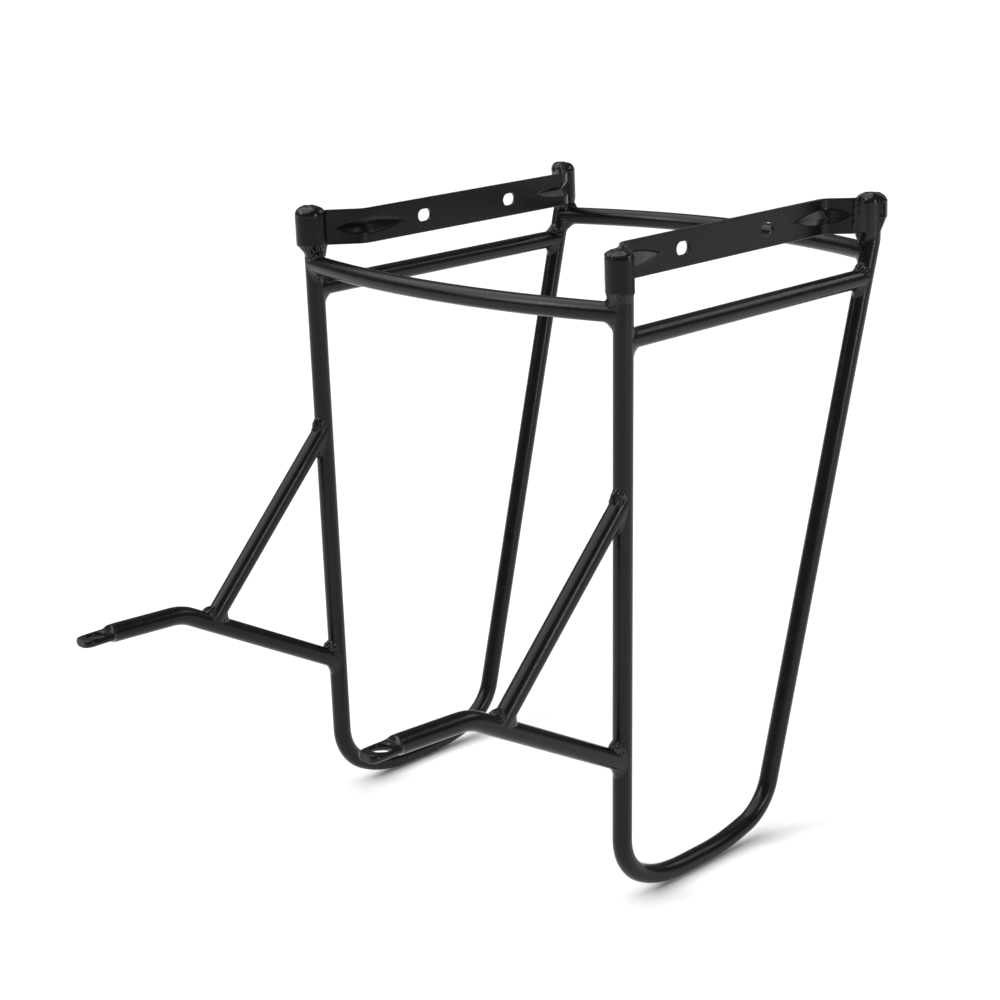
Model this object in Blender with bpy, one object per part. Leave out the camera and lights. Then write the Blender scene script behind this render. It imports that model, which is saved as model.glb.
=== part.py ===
"""Bicycle rear rack: a welded frame of 10 mm round tube with two flat strip rails.

Metres, +Z up, floor at z = 0. The arms with the fixing eyelets point along -Y,
and the rack is mirror-symmetric about the plane x = 0.
Every part is built on the right-hand side (+X) and mirrored for the left.
"""

from math import acos, asin, atan, atan2, cos, pi, radians, sin, sqrt, tan

import bmesh
import bpy
from mathutils import Vector

# Tube stock
TUBE_R = 0.0050
TUBE_WALL = 0.0015
GAP = 0.0003
ROUND = 16

# Side hoops: one bent tube each, front leg, foot run and rear leg
FOOT_Z = 0.0050
HOOP_X = 0.1090
HOOP_LEAN = 0.0150
FRONT_LEG_Y = -0.02981
FRONT_LEG_RAKE = 0.0150
REAR_LEG_Y = 0.08118
REAR_LEG_RAKE = 0.2850
TOE_BENDS = ((0.027, 60.0), (0.055, 20.0), (0.090, 10.0))
HEEL_RISE = (0.120, 13.0)
HEEL_STRAIGHT = 0.0067
HEEL_R = 0.029
KNUCKLE_Y = 0.17093
KNUCKLE_R = 0.015
LEG_TOP_Z = 0.3367

# Cross members and side bars
MID_BAR_Z = 0.2953
CROSSBAR_Z = 0.3084
FRONT_BOW = 0.0151
REAR_BOW = 0.0224
CROSSBAR_END = 0.012

# Arms that reach forward to the fixing eyelets
ARM_ROOT_Z = 0.0792
ARM_BEND_Y = -0.13297
ARM_BEND_Z = 0.1360
ARM_FRONT_X = 0.1110
ARM_BEND_R = 0.030
ARM_FRONT_SLOPE = radians(2.2)
SHOULDER_Y = -0.17827
SHOULDER_LENGTH = 0.0022
NOSE_Y = -0.19647
NOSE_ROUND = 0.0042
NOSE_FLAT = 0.60
TAB_HALF_WIDTH = 0.0065
TAB_HALF_THICKNESS = 0.0021
EYELET_Y = -0.18687
EYELET_R = 0.0047

# Braces between the front legs and the arms
STRUT_TOP_Z = 0.2169
STRUT_FOOT_Y = -0.11447

# Flat strip rails
RAIL_X = 0.0944
RAIL_Z = 0.3279
RAIL_HEIGHT = 0.0190
STRIP = 0.0025
BEND_FRONT_Y = -0.00447
BEND_REAR_Y = 0.15433
RAIL_BEND_R = 0.005
HOOK_R = 0.00725
HOOK_NECK_R = 0.0030
HOOK_END = radians(358)
HOOK_SHIFT_Y = -0.0006
SLOT_YS = (0.03953, 0.10593)
SLOT_LENGTH = 0.0100
SLOT_HEIGHT = 0.0070
DART_DEPTH = 0.0024
DART_HALF_HEIGHT = 0.0036
DART_MID = 0.0225
DART_DIAGONAL = 0.0145

# Welds
BEAD_LEG = 0.0022
BEAD_BULGE = 0.0007
CAP_RISE = 0.0032
CAP_R = 0.0080
UNDER_HOOK = 0.0018

BLACK = (0.022, 0.023, 0.025)
WELD_BLACK = (0.030, 0.031, 0.033)


def clear_scene():
    for obj in list(bpy.data.objects):
        bpy.data.objects.remove(obj, do_unlink=True)


def finish(name, colour, roughness):
    material = bpy.data.materials.new(name + "_finish")
    material.use_nodes = True
    shader = material.node_tree.nodes["Principled BSDF"]
    shader.inputs["Base Color"].default_value = (*colour, 1.0)
    shader.inputs["Roughness"].default_value = roughness
    return material


def solid(name, points, faces, side=1, colour=BLACK, roughness=0.42):
    """One closed body from points and faces, mirrored to the left when side is -1."""
    mesh = bpy.data.meshes.new(name)
    mesh.from_pydata([(side * p[0], p[1], p[2]) for p in points], [], faces)
    shell = bmesh.new()
    shell.from_mesh(mesh)
    bmesh.ops.recalc_face_normals(shell, faces=shell.faces)
    shell.to_mesh(mesh)
    shell.free()
    mesh.shade_smooth()
    mesh.set_sharp_from_angle(angle=radians(38))
    mesh.materials.append(finish(name, colour, roughness))
    obj = bpy.data.objects.new(name, mesh)
    bpy.context.scene.collection.objects.link(obj)
    return obj


def cut(obj, points, faces):
    """Takes a convex cutter out of obj."""
    cutter = solid(obj.name + "_cutter", points, faces)
    cutter.hide_render = True
    cutter.display_type = "WIRE"
    modifier = obj.modifiers.new("cut_" + str(len(obj.modifiers)), "BOOLEAN")
    modifier.operation = "DIFFERENCE"
    modifier.solver = "EXACT"
    modifier.object = cutter


def leg_x(z):
    return HOOP_X + HOOP_LEAN * z


def front_leg(z):
    return Vector((leg_x(z), FRONT_LEG_Y + FRONT_LEG_RAKE * z, z))


def rear_leg(z):
    return Vector((leg_x(z), REAR_LEG_Y + REAR_LEG_RAKE * z, z))


FRONT_LEG_DIR = Vector((HOOP_LEAN, FRONT_LEG_RAKE, 1)).normalized()
REAR_LEG_DIR = Vector((HOOP_LEAN, REAR_LEG_RAKE, 1)).normalized()


def arc_steps(angle):
    return max(2, round(abs(angle) / radians(9)))


def arc(start, heading, radius, turn):
    """Points of a plane arc that leaves start along heading; turn is positive to the left."""
    side = 1 if turn > 0 else -1
    centre = (start[0] - side * radius * sin(heading), start[1] + side * radius * cos(heading))
    count = arc_steps(turn)
    found = []
    for i in range(1, count + 1):
        a = heading + turn * i / count
        found.append((centre[0] + side * radius * sin(a), centre[1] - side * radius * cos(a)))
    return found


def hoop_profile():
    """(y, z) of the hoop's centre line, from the top of the front leg round to the rear top."""
    heading = -pi / 2 - atan(FRONT_LEG_RAKE)
    first = (TOE_BENDS[0][0], radians(TOE_BENDS[0][1]) + atan(FRONT_LEG_RAKE))
    toe = [first] + [(r, radians(a)) for r, a in TOE_BENDS[1:]]
    drop = 0
    a = heading
    for radius, turn in toe:
        drop += radius * (cos(a) - cos(a + turn))
        a += turn
    z = FOOT_Z - drop
    start = (FRONT_LEG_Y + FRONT_LEG_RAKE * z, z)
    points = [(front_leg(LEG_TOP_Z).y, LEG_TOP_Z), start]
    for radius, turn in toe:
        points += arc(points[-1], heading, radius, turn)
        heading += turn
    lean = atan2(1, REAR_LEG_RAKE)
    rise = radians(HEEL_RISE[1])
    heel = arc((0, FOOT_Z), 0, HEEL_RISE[0], rise)
    heel.append((heel[-1][0] + HEEL_STRAIGHT * cos(rise), heel[-1][1] + HEEL_STRAIGHT * sin(rise)))
    heel += arc(heel[-1], rise, HEEL_R, lean - rise)
    shift = REAR_LEG_Y + REAR_LEG_RAKE * heel[-1][1] - heel[-1][0]
    points += [(shift, FOOT_Z)] + [(shift + y, z) for y, z in heel]
    corner_z = (KNUCKLE_Y - REAR_LEG_Y) / REAR_LEG_RAKE
    tangent = KNUCKLE_R * tan((pi / 2 - lean) / 2)
    bend = (KNUCKLE_Y - tangent * cos(lean), corner_z - tangent * sin(lean))
    points += [bend] + arc(bend, lean, KNUCKLE_R, pi / 2 - lean) + [(KNUCKLE_Y, LEG_TOP_Z)]
    return points


def frames(path):
    """A cross-section frame at every point of a path, carried along without twist."""
    found = []
    across = None
    for i, point in enumerate(path):
        before = (point - path[i - 1]).normalized() if i else None
        after = (path[i + 1] - point).normalized() if i + 1 < len(path) else None
        along = ((before or after) + (after or before)).normalized()
        if across is None:
            across = Vector((1, 0, 0)) if abs(along.x) < 0.8 else Vector((0, 0, 1))
        across = (across - along * across.dot(along)).normalized()
        found.append((point, along, across, along.cross(across)))
    return found


def ring(frame, radius):
    point, _, across, up = frame
    return [
        point + across * (radius * cos(2 * pi * i / ROUND)) + up * (radius * sin(2 * pi * i / ROUND))
        for i in range(ROUND)
    ]


def onto_tube(point, direction, axis, radius):
    """Where the line from point along direction first meets the round surface about axis."""
    base, along = axis
    p = (point - base) - along * (point - base).dot(along)
    d = direction - along * direction.dot(along)
    a = d.dot(d)
    b = p.dot(d)
    root = sqrt(max(0.0, b * b - a * (p.dot(p) - radius * radius)))
    return point + direction * ((-b - root) / a)


def coped(points, outward, axis):
    if axis is None:
        return points
    return [onto_tube(p, outward, axis, TUBE_R + GAP) for p in points]


def skin(rings, first=0):
    """Quads between each ring of a list and the next one."""
    count = len(rings[0])
    quads = []
    for r in range(len(rings) - 1):
        a = first + r * count
        for i in range(count):
            j = (i + 1) % count
            quads.append((a + i, a + j, a + count + j, a + count + i))
    return quads


def tube(name, path, side=1, start_on=None, end_on=None):
    """An open-ended round tube; each end is coped to the axis of the tube it meets."""
    stations = frames(path)
    shells = []
    for radius in (TUBE_R, TUBE_R - TUBE_WALL):
        rings = [ring(f, radius) for f in stations]
        rings[0] = coped(rings[0], -stations[0][1], start_on)
        rings[-1] = coped(rings[-1], stations[-1][1], end_on)
        shells.append(rings)
    outer, inner = shells
    loop = outer + inner[::-1] + [outer[0]]
    points = [p for r in outer + inner[::-1] for p in r]
    total = len(points)
    faces = [tuple(i % total for i in quad) for quad in skin(loop)]
    return solid(name, points, faces, side)


def hoop_tube(name, side):
    path = [Vector((leg_x(z), y, z)) for y, z in hoop_profile()]
    return tube(name, path, side)


def mid_bar(name, side):
    path = [front_leg(MID_BAR_Z), rear_leg(MID_BAR_Z)]
    front = (path[0], FRONT_LEG_DIR)
    rear = (path[1], REAR_LEG_DIR)
    return tube(name, path, side, front, rear)


def crossbar_path(y, bow):
    """An arc from leg to leg that bows out by bow, with a short straight length at each end."""
    half = leg_x(CROSSBAR_Z)
    radius = (half * half + bow * bow) / (2 * abs(bow))
    way = 1 if bow > 0 else -1
    span = atan2(half, radius - abs(bow))
    reach = span - CROSSBAR_END / radius
    points = []
    for i in range(-7, 8):
        a = reach * i / 7
        points.append(Vector((radius * sin(a), y + way * (radius * cos(a) - radius + abs(bow)), CROSSBAR_Z)))
    return [Vector((-half, y, CROSSBAR_Z))] + points + [Vector((half, y, CROSSBAR_Z))]


def crossbar(name, leg, leg_dir, bow):
    path = crossbar_path(leg(CROSSBAR_Z).y, bow)
    right = (leg(CROSSBAR_Z), leg_dir)
    left = tuple(Vector((-v.x, v.y, v.z)) for v in right)
    return tube(name, path, 1, left, right)


def arm_path():
    """Centre line of an arm, from the leg to the end of its round length."""
    root = front_leg(ARM_ROOT_Z)
    corner = Vector((ARM_FRONT_X, ARM_BEND_Y, ARM_BEND_Z))
    rise = (corner - root).normalized()
    ahead = Vector((0, -cos(ARM_FRONT_SLOPE), sin(ARM_FRONT_SLOPE)))
    turn = acos(rise.dot(ahead))
    tangent = ARM_BEND_R * tan(turn / 2)
    into = corner - rise * tangent
    normal = (ahead - rise * ahead.dot(rise)).normalized()
    centre = into + normal * ARM_BEND_R
    count = 4
    path = [root]
    for i in range(count + 1):
        a = turn * i / count
        path.append(centre - normal * (ARM_BEND_R * cos(a)) + rise * (ARM_BEND_R * sin(a)))
    out = path[-1]
    path.append(out + ahead * ((SHOULDER_Y - out.y) / ahead.y))
    return path, rise, ahead


def flat_section(centre, half_width, half_thickness):
    """A tube pressed flat: straight top and bottom with half-round edges, in the XZ plane."""
    quarter = ROUND // 4
    straight = half_width - half_thickness
    corner = []
    for i in range(quarter):
        a = pi / 2 * i / (quarter - 1)
        corner.append((straight + half_thickness * cos(a), half_thickness * sin(a)))
    half = corner + [(0.0, half_thickness)] + [(-x, z) for x, z in reversed(corner)]
    outline = half + [(-x, -z) for x, z in half[1:-1]]
    return [centre + Vector((x, 0, z)) for x, z in outline]


def arm_tube(name, side):
    """Round tube from the leg to the shoulder, then a flattened tab with the fixing hole."""
    path, rise, ahead = arm_path()
    stations = frames(path)
    outer = [ring(f, TUBE_R) for f in stations]
    outer[0] = coped(outer[0], -rise, (path[0], FRONT_LEG_DIR))
    inner = [ring(f, TUBE_R - TUBE_WALL) for f in stations]
    inner[0] = coped(inner[0], -rise, (path[0], FRONT_LEG_DIR))
    shoulder = path[-1]
    tab = []
    widths = [(SHOULDER_LENGTH, 1.0), (SHOULDER_Y - NOSE_Y - NOSE_ROUND, 1.0)]
    for i in range(1, 5):
        a = radians(90) * i / 4
        shrink = NOSE_FLAT + (1 - NOSE_FLAT) * cos(a)
        widths.append((SHOULDER_Y - NOSE_Y - NOSE_ROUND * (1 - sin(a)), shrink))
    for reach, share in widths:
        centre = shoulder + Vector((0, -reach, 0))
        section = flat_section(centre, TAB_HALF_WIDTH * share, TAB_HALF_THICKNESS)
        tab.append(align(section, outer[-1], shoulder))
    rings = inner[::-1] + outer + tab
    points = [p for r in rings for p in r]
    faces = skin(rings)
    faces.append(tuple(range(ROUND)))
    faces.append(tuple(range(len(points) - ROUND, len(points))))
    arm = solid(name, points, faces, side)
    centre = shoulder + Vector((0, EYELET_Y - SHOULDER_Y, 0))
    drill(arm, Vector((side * centre.x, centre.y, centre.z)))
    return arm


def align(section, round_ring, centre):
    """Turns a section's points so that they follow the order of the round ring behind it."""
    def angle(p):
        return atan2(p.z - centre.z, p.x - centre.x)

    step = 2 * pi / ROUND
    found = []
    for p in round_ring:
        found.append(section[round(angle(p) / step) % ROUND])
    return found


def drill(arm, centre):
    count = 24
    depth = 0.006
    points = []
    for z in (-depth, depth):
        for i in range(count):
            a = 2 * pi * (i + 0.5) / count
            points.append(centre + Vector((EYELET_R * cos(a), EYELET_R * sin(a), z)))
    faces = [tuple(range(count)), tuple(range(count, 2 * count))]
    faces += [(i, (i + 1) % count, count + (i + 1) % count, count + i) for i in range(count)]
    cut(arm, points, faces)


def strut_ends():
    top = front_leg(STRUT_TOP_Z)
    root = front_leg(ARM_ROOT_Z)
    rise = arm_path()[1]
    foot = root + rise * ((root.y - STRUT_FOOT_Y) / -rise.y)
    return top, foot, rise


def strut_tube(name, side):
    top, foot, rise = strut_ends()
    return tube(name, [top, foot], side, (top, FRONT_LEG_DIR), (foot, rise))


def hook_centre(way):
    """Plan centre of the hook round the front (1) or rear (-1) leg, at the rail's height."""
    leg_y = front_leg(RAIL_Z).y if way > 0 else KNUCKLE_Y
    return Vector((leg_x(RAIL_Z), leg_y + HOOK_SHIFT_Y))


def hook_points(bend, way):
    """Plan points of a rail end: straight at the leg, a small neck bend, then round the leg."""
    centre = hook_centre(way)
    away = bend - centre
    neck = atan2(away.y, away.x)
    reach = HOOK_R + HOOK_NECK_R
    swing = asin(HOOK_NECK_R / reach)
    start = neck + way * swing
    pivot = centre + Vector((cos(start), sin(start))) * reach
    points = []
    for i in range(5):
        a = neck - way * (pi / 2 + (pi / 2 - swing) * i / 4)
        points.append(pivot + Vector((cos(a), sin(a))) * HOOK_NECK_R)
    for i in range(1, 13):
        a = start + (way * HOOK_END - start) * i / 12
        points.append(centre + Vector((cos(a), sin(a))) * HOOK_R)
    return points


def rail_plan():
    """Plan centre line of a rail as (point, dart share) pairs, front hook to rear hook."""
    front_bend = Vector((RAIL_X, BEND_FRONT_Y))
    rear_bend = Vector((RAIL_X, BEND_REAR_Y))
    front = hook_points(front_bend, 1)
    rear = hook_points(rear_bend, -1)
    plan = [(p, 0.0) for p in reversed(front)]
    plan += bend_points(front[0], front_bend, 1)
    for y in SLOT_YS:
        plan.append((Vector((RAIL_X, y)), 0.0))
    plan += reversed(bend_points(rear[0], rear_bend, -1))
    plan += [(p, 0.0) for p in rear]
    return plan


def bend_points(tangent_point, corner, way):
    """The rounded bend of a rail with its dart, listed from the diagonal to the middle."""
    diagonal = (tangent_point - corner).normalized()
    middle = Vector((0, way))
    turn = pi - acos(diagonal.dot(middle))
    normal = (diagonal + middle).normalized()
    across = (middle - normal * middle.dot(normal)).normalized()
    centre = corner + normal * (RAIL_BEND_R / cos(turn / 2))
    points = []
    points.append((corner + diagonal * DART_DIAGONAL, 0.0))
    points.append((corner + diagonal * (DART_DIAGONAL * 0.55), 0.55))
    for i in range(5):
        a = turn * (i / 4 - 0.5)
        share = 0.9 if i in (0, 4) else 1.0
        points.append((centre + (across * sin(a) - normal * cos(a)) * RAIL_BEND_R, share))
    points.append((corner + middle * (DART_MID * 0.55), 0.55))
    points.append((corner + middle * DART_MID, 0.0))
    return points


def top_rail(name, side):
    """A flat strip on edge, bent in plan, hooked round both legs and pressed at its bends."""
    plan = rail_plan()
    half = RAIL_HEIGHT / 2
    rings = []
    for i, (point, share) in enumerate(plan):
        before = (point - plan[i - 1][0]).normalized() if i else None
        after = (plan[i + 1][0] - point).normalized() if i + 1 < len(plan) else None
        along = ((before or after) + (after or before)).normalized()
        lean = along.dot(before) if before else 1.0
        out = Vector((along.y, -along.x)) / lean
        press = DART_DEPTH * share
        dart = DART_HALF_HEIGHT * (0.4 + 0.6 * share)
        rows = (-half, -dart, 0.0, dart, half)
        section = []
        for face in (1, -1):
            for z in rows[::face]:
                push = press if z == 0.0 else 0.0
                spot = point + out * (face * STRIP / 2 + push)
                section.append(Vector((spot.x, spot.y, RAIL_Z + z)))
        rings.append(section)
    points = [p for r in rings for p in r]
    count = 2 * len(rows)
    faces = skin(rings)
    for base in (0, len(points) - count):
        for i in range(len(rows) - 1):
            faces.append((base + i, base + i + 1, base + count - 2 - i, base + count - 1 - i))
    rail = solid(name, points, faces, side)
    for y in SLOT_YS:
        slot(rail, side * RAIL_X, y)
    return rail


def slot(rail, x, y):
    """A round-ended slot through the strip, long way along Y."""
    radius = SLOT_HEIGHT / 2
    shift = (SLOT_LENGTH - SLOT_HEIGHT) / 2
    outline = []
    for end in (1, -1):
        for i in range(9):
            a = end * (i / 8 - 0.5) * pi if end > 0 else pi / 2 + i / 8 * pi
            outline.append((y + end * shift + radius * cos(a), RAIL_Z + radius * sin(a)))
    count = len(outline)
    points = [(x + dx, p[0], p[1]) for dx in (-0.004, 0.004) for p in outline]
    faces = [tuple(range(count)), tuple(range(count, 2 * count))]
    faces += [(i, (i + 1) % count, count + (i + 1) % count, count + i) for i in range(count)]
    cut(rail, points, faces)


def surface_step(start, centre, axis, distance):
    """Walks from start over a leg's round surface, straight away from the joint's centre."""
    base, along = axis
    radius = TUBE_R + GAP
    height = (start - centre).dot(along)
    radial = (start - base) - along * (start - base).dot(along)
    facing = (centre - base) - along * (centre - base).dot(along)
    facing = facing.normalized()
    side = along.cross(facing)
    angle = atan2(radial.dot(side), radial.dot(facing))
    flat = Vector((radius * angle, height))
    moved = flat + flat.normalized() * distance
    turn = moved.x / radius
    foot = base + along * (centre - base).dot(along)
    toe = TUBE_R + 2 * GAP
    return foot + facing * (toe * cos(turn)) + side * (toe * sin(turn)) + along * moved.y


def bead(name, side, joint, away, axis, fill_towards, fill=0.0, leg=BEAD_LEG):
    """A weld bead in the corner where a branch tube, pointing away, meets the tube on axis."""
    spread = axis[1] * (1 if axis[1].dot(fill_towards) > 0 else -1)
    spread = (spread - away * spread.dot(away)).normalized()
    across = away.cross(spread)
    centre = onto_tube(joint + away * 0.05, -away, axis, TUBE_R + GAP)
    rings = []
    for i in range(ROUND):
        a = 2 * pi * i / ROUND
        radial = spread * cos(a) + across * sin(a)
        size = leg + fill * max(0.0, cos(a)) ** 2
        far = joint + radial * (TUBE_R + GAP) + away * 0.05
        root = onto_tube(far, -away, axis, TUBE_R + GAP)
        on_branch = root + away * size
        on_main = surface_step(root, centre, axis, size * (1 - 0.5 * sin(a) ** 2))
        main_out = (on_main - axis[0]) - axis[1] * (on_main - axis[0]).dot(axis[1])
        out = (radial + main_out.normalized()).normalized()
        third = on_branch.lerp(on_main, 0.33) + out * BEAD_BULGE
        other = on_branch.lerp(on_main, 0.67) + out * BEAD_BULGE
        rings.append([root, on_branch, third, other, on_main])
    points = [p for r in rings for p in r]
    total = len(points)
    faces = [tuple(i % total for i in quad) for quad in skin(rings + [rings[0]])]
    return solid(name, points, faces, side, WELD_BLACK, 0.5)


def under_hook_bead(name, side, way):
    """Weld under the lower edge of a rail hook, over the part of the leg that the hook wraps."""
    centre = hook_centre(way)
    leg = centre - Vector((0, HOOK_SHIFT_Y))
    top = RAIL_Z - RAIL_HEIGHT / 2 - GAP
    start = way * radians(150)
    rings = []
    for i in range(13):
        a = start + (way * HOOK_END - start) * i / 12
        out = Vector((cos(a), sin(a)))
        inner = leg + out * (TUBE_R + 1.5 * GAP)
        outer = centre + out * (HOOK_R + STRIP / 2)
        foot = inner.lerp(outer, 0.4)
        low = top - UNDER_HOOK
        rings.append([
            Vector((inner.x, inner.y, top)),
            Vector((outer.x, outer.y, top)),
            Vector((foot.x, foot.y, low)),
            Vector((inner.x, inner.y, low)),
        ])
    points = [p for r in rings for p in r]
    last = len(points) - 4
    faces = skin(rings) + [(0, 1, 2, 3), (last, last + 1, last + 2, last + 3)]
    return solid(name, points, faces, side, WELD_BLACK, 0.5)


def cap_weld(name, side, way):
    """A domed weld that closes the top of a leg and covers the rail hook round it."""
    centre = hook_centre(way)
    foot = RAIL_Z + RAIL_HEIGHT / 2 + GAP
    levels = [(1.0, 0.0), (1.0, 0.30), (0.86, 0.68), (0.55, 0.92)]
    points = []
    for share, rise in levels:
        for i in range(ROUND):
            a = 2 * pi * i / ROUND
            x = centre.x + CAP_R * share * cos(a)
            y = centre.y + CAP_R * share * sin(a)
            points.append((x, y, foot + CAP_RISE * rise))
    faces = [tuple(range(ROUND))]
    for level in range(len(levels) - 1):
        base = level * ROUND
        for i in range(ROUND):
            j = (i + 1) % ROUND
            faces.append((base + i, base + j, base + ROUND + j, base + ROUND + i))
    top = len(points)
    points.append((centre.x, centre.y, foot + CAP_RISE))
    base = top - ROUND
    faces += [(base + i, base + (i + 1) % ROUND, top) for i in range(ROUND)]
    return solid(name, points, faces, side, WELD_BLACK, 0.5)


def side_welds(label, side):
    """All weld beads of one side of the rack."""
    down = Vector((0, 0, -1))
    front_axis = (front_leg(MID_BAR_Z), FRONT_LEG_DIR)
    rear_axis = (rear_leg(MID_BAR_Z), REAR_LEG_DIR)
    back = Vector((0, 1, 0))
    bead(label + "_mid_bar_front_weld", side, front_axis[0], back, front_axis, down, 0.0012)
    bead(label + "_mid_bar_rear_weld", side, rear_axis[0], -back, rear_axis, down, 0.0008)
    for end, leg, leg_dir, bow in (
        ("front", front_leg, FRONT_LEG_DIR, -FRONT_BOW),
        ("rear", rear_leg, REAR_LEG_DIR, REAR_BOW),
    ):
        path = crossbar_path(leg(CROSSBAR_Z).y, bow)
        away = (path[-2] - path[-1]).normalized()
        axis = (leg(CROSSBAR_Z), leg_dir)
        bead(label + "_crossbar_" + end + "_weld", side, path[-1], away, axis, down, 0.0016)
    top, foot, rise = strut_ends()
    down_strut = (foot - top).normalized()
    bead(label + "_strut_top_weld", side, top, down_strut, (top, FRONT_LEG_DIR), down, 0.0020)
    bead(label + "_strut_foot_weld", side, foot, -down_strut, (foot, rise), back, 0.0008)
    root = front_leg(ARM_ROOT_Z)
    bead(label + "_arm_root_weld", side, root, rise, (root, FRONT_LEG_DIR), down, 0.0012)
    for end, way in (("front", 1), ("rear", -1)):
        under_hook_bead(label + "_" + end + "_hook_weld", side, way)
        cap_weld(label + "_" + end + "_cap_weld", side, way)


def build():
    clear_scene()
    for label, side in (("left", -1), ("right", 1)):
        hoop_tube(label + "_hoop_tube", side)
        mid_bar(label + "_mid_bar", side)
        arm_tube(label + "_arm_tube", side)
        strut_tube(label + "_strut_tube", side)
        top_rail(label + "_top_rail", side)
        side_welds(label, side)
    crossbar("front_crossbar", front_leg, FRONT_LEG_DIR, -FRONT_BOW)
    crossbar("rear_crossbar", rear_leg, REAR_LEG_DIR, REAR_BOW)


build()
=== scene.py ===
"""The looks of a welded bicycle rear rack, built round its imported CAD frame.

Metres, +Z up. Each piece is built on the right-hand side (+X) and mirrored for the left.
"""

from math import acos, asin, atan, atan2, cos, exp, pi, radians, sin, sqrt, tan

import bmesh
import bpy
from mathutils import Matrix, Vector, noise


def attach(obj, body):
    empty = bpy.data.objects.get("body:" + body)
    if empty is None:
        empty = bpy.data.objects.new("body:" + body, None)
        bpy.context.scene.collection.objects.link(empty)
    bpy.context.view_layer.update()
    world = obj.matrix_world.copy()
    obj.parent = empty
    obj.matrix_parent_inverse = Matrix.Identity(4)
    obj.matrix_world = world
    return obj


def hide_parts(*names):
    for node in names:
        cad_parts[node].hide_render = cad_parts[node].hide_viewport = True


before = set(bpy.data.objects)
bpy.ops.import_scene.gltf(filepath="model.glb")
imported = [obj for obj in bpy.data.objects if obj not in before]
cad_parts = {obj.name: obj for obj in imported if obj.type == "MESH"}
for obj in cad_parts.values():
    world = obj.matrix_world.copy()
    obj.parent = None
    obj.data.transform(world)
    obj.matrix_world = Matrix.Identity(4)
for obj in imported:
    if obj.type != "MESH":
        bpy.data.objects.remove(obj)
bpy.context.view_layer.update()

# Driving dimensions, the same as the CAD part's
TUBE_R = 0.0050
FOOT_Z = 0.0050
HOOP_X = 0.1090
HOOP_LEAN = 0.0150
FRONT_LEG_Y = -0.02981
FRONT_LEG_RAKE = 0.0150
REAR_LEG_Y = 0.08118
REAR_LEG_RAKE = 0.2850
TOE_BENDS = ((0.027, 60.0), (0.055, 20.0), (0.090, 10.0))
HEEL_RISE = (0.120, 13.0)
HEEL_STRAIGHT = 0.0067
HEEL_R = 0.029
KNUCKLE_Y = 0.17093
KNUCKLE_R = 0.015
LEG_TOP_Z = 0.3367
MID_BAR_Z = 0.2953
CROSSBAR_Z = 0.3084
FRONT_BOW = 0.0151
REAR_BOW = 0.0224
CROSSBAR_END = 0.012
ARM_ROOT_Z = 0.0792
ARM_BEND_Y = -0.13297
ARM_BEND_Z = 0.1360
ARM_FRONT_X = 0.1110
ARM_BEND_R = 0.030
ARM_FRONT_SLOPE = radians(2.2)
SHOULDER_Y = -0.17827
NOSE_Y = -0.19647
NOSE_ROUND = 0.0050
TAB_HALF_WIDTH = 0.0065
TAB_HALF_THICKNESS = 0.0021
EYELET_Y = -0.18687
EYELET_R = 0.0047
STRUT_TOP_Z = 0.2169
STRUT_FOOT_Y = -0.11447
RAIL_X = 0.0944
RAIL_Z = 0.3279
RAIL_HEIGHT = 0.0190
STRIP = 0.0025
BEND_FRONT_Y = -0.00447
BEND_REAR_Y = 0.15433
RAIL_BEND_R = 0.009
HOOK_R = 0.00725
HOOK_NECK_R = 0.0030
HOOK_END = radians(354)
HOOK_SHIFT_Y = -0.0006
SLOT_YS = (0.03953, 0.10593)
SLOT_LENGTH = 0.0100
SLOT_HEIGHT = 0.0070

# Fineness and surface of the visual pieces
ROUND = 56  # points round a tube
WELD_ROUND = 160  # points round a weld
BEAD_STEPS = 14  # steps across a bead, from one tube to the other
HOOK_STEPS = 60  # steps round a rail hook
ARC_STEP = radians(2.5)
PIECE_SHARP = radians(40)
CUT_SHARP = radians(35)
SUNK = 0.00016  # how far an end reaches into the tube it meets
EDGE_R = 0.00055
TAB_TAPER = 0.48  # share of its width that the tab loses at its nose
DART_DEPTH = 0.0029
DART_HALF_HEIGHT = 0.0040
DART_MID = 0.0262
DART_DIAGONAL = 0.0152
RIPPLE_PITCH = 0.0020
RIPPLE_SHARPNESS = 0.7
HOOK_LIFT = 0.0085  # rise of a rear hook's lower edge toward its free end
HOOK_MELT = 0.0026  # depth over which a hook's top edge melts into the cap
HOOK_TOE = 0.0012  # the same at its lower edge
HOOK_WELD_DEPTH = 0.0058  # reach of the weld under a hook, down the leg
CAP_TOP = 0.0034  # highest point of a cap over the strip's top edge


# --- materials ---


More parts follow.
